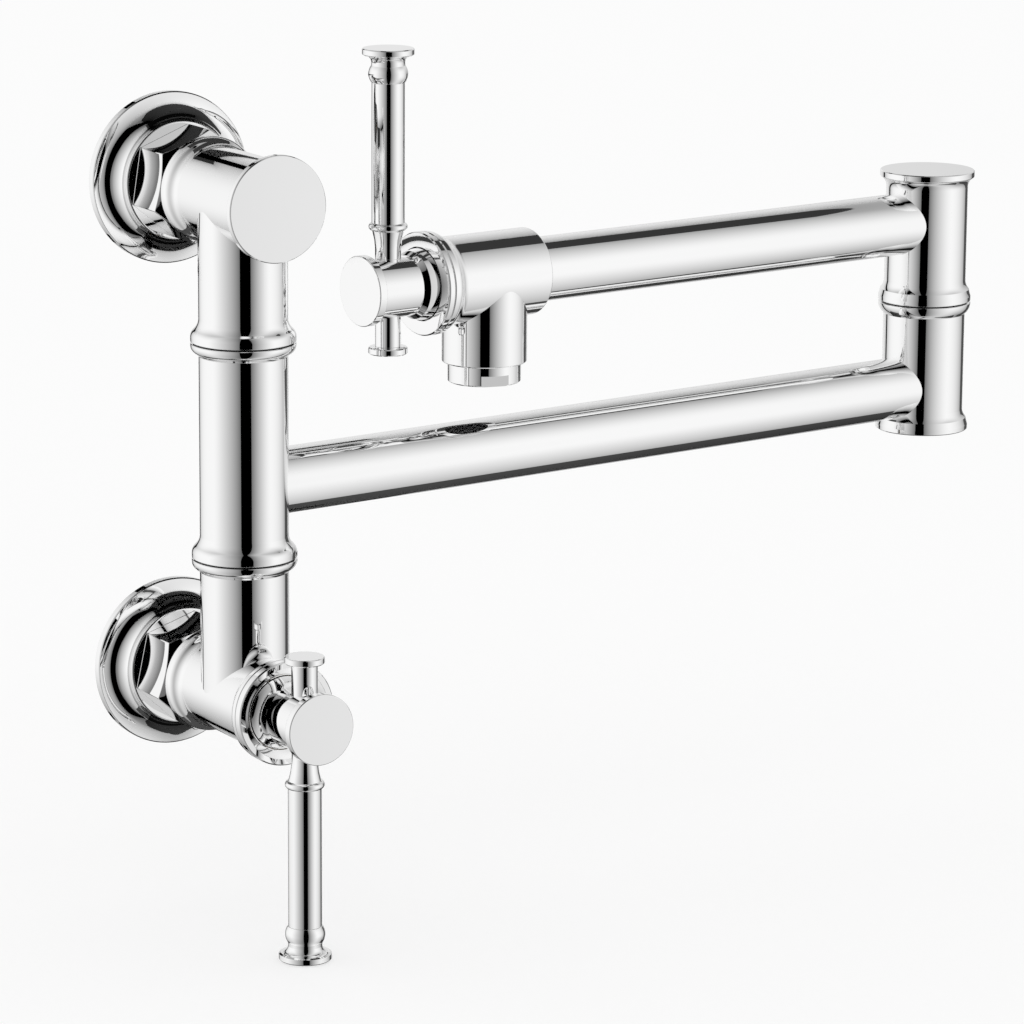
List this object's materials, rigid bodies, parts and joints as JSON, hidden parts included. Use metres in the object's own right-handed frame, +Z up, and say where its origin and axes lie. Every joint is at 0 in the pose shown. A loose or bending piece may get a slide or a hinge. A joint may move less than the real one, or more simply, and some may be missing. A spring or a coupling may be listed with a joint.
{
  "type": "wall mounted pot filler",
  "caption": "Wall mounted pot filler tap: a riser between wall unions carries a folding arm, with a lever valve at the inlet and another at the spout, in polished chrome.",
  "frame": {"origin": "centre of the lower wall adapter's pipe mouth, on the wall's face", "axes": "+X right along the wall as seen from the room, +Y into the wall, +Z up; the object stands out towards -Y"},
  "size_m": [0.4171, 0.1303, 0.3564],
  "materials": {
    "polished_chrome": "mirror polished chrome plate on brass",
    "brass": "machined brass, unplated",
    "rubber": "matt black rubber",
    "ceramic": "lapped white ceramic",
    "nylon": "dark moulded nylon",
    "steel": "plain stainless steel"
  },
  "bodies": {
    "wall_body": {"lower_escutcheon": "polished_chrome", "lower_wall_adapter": "brass", "lower_union_nut": "polished_chrome", "lower_tailpiece": "brass", "upper_escutcheon": "polished_chrome", "upper_wall_adapter": "brass", "upper_union_nut": "polished_chrome", "upper_tailpiece": "brass", "escutcheon_seals": "rubber", "union_washers": "rubber", "lower_valve_body": "polished_chrome", "upper_elbow": "polished_chrome", "elbow_cap": "polished_chrome", "riser_spindle": "brass", "riser_o_rings": "rubber", "riser_thrust_washers": "nylon", "lower_cartridge_body": "brass", "lower_cartridge_seal": "rubber", "lower_fixed_disc": "ceramic", "lower_stem_o_ring": "rubber", "lower_valve_collar": "polished_chrome"},
    "lower_lever": {"lower_valve_stem": "brass", "lower_moving_disc": "ceramic", "lower_handle_hub": "polished_chrome", "lower_handle_cap": "polished_chrome", "lower_grub_screw": "steel", "lower_lever_rod": "polished_chrome", "lower_lever_end_disc": "polished_chrome", "lower_lever_ferrule": "polished_chrome", "lower_lever_grip": "polished_chrome", "lower_lever_finial": "polished_chrome"},
    "lower_arm": {"riser_sleeve": "polished_chrome", "lower_arm_tube": "polished_chrome", "post_lower_half": "polished_chrome", "swivel_spigot": "brass", "swivel_o_rings": "rubber", "swivel_thrust_washer": "nylon", "swivel_retaining_ring": "steel"},
    "upper_arm": {"post_upper_half": "polished_chrome", "post_cap": "polished_chrome", "upper_arm_tube": "polished_chrome", "spout_body": "polished_chrome", "aerator_housing": "polished_chrome", "aerator_insert": "nylon", "aerator_washer": "rubber", "spout_cartridge_body": "brass", "spout_cartridge_seal": "rubber", "spout_fixed_disc": "ceramic", "spout_stem_o_ring": "rubber", "spout_valve_collar": "polished_chrome"},
    "spout_lever": {"spout_valve_stem": "brass", "spout_moving_disc": "ceramic", "spout_handle_hub": "polished_chrome", "spout_handle_cap": "polished_chrome", "spout_grub_screw": "steel", "spout_lever_rod": "polished_chrome", "spout_lever_end_disc": "polished_chrome", "spout_lever_ferrule": "polished_chrome", "spout_lever_grip": "polished_chrome", "spout_lever_finial": "polished_chrome"}
  },
  "joints": [
    {"name": "lower_valve_turn", "type": "hinge", "parent": "wall_body", "child": "lower_lever", "pos_m": [0, -0.1165, 0], "axis": [0, -1, 0], "range_deg": [0, 90]},
    {"name": "shoulder_swivel", "type": "hinge", "parent": "wall_body", "child": "lower_arm", "pos_m": [0, -0.066, 0.0865], "axis": [0, 0, 1], "range_deg": [-192, 0]},
    {"name": "elbow_swivel", "type": "hinge", "parent": "lower_arm", "child": "upper_arm", "pos_m": [0.36101, -0.02806, 0.1245], "axis": [0, 0, 1], "continuous": true},
    {"name": "spout_valve_turn", "type": "hinge", "parent": "upper_arm", "child": "spout_lever", "pos_m": [0.07061, -0.05858, 0.16], "axis": [0.9945, 0.1045, 0], "range_deg": [0, 90]}
  ]
}
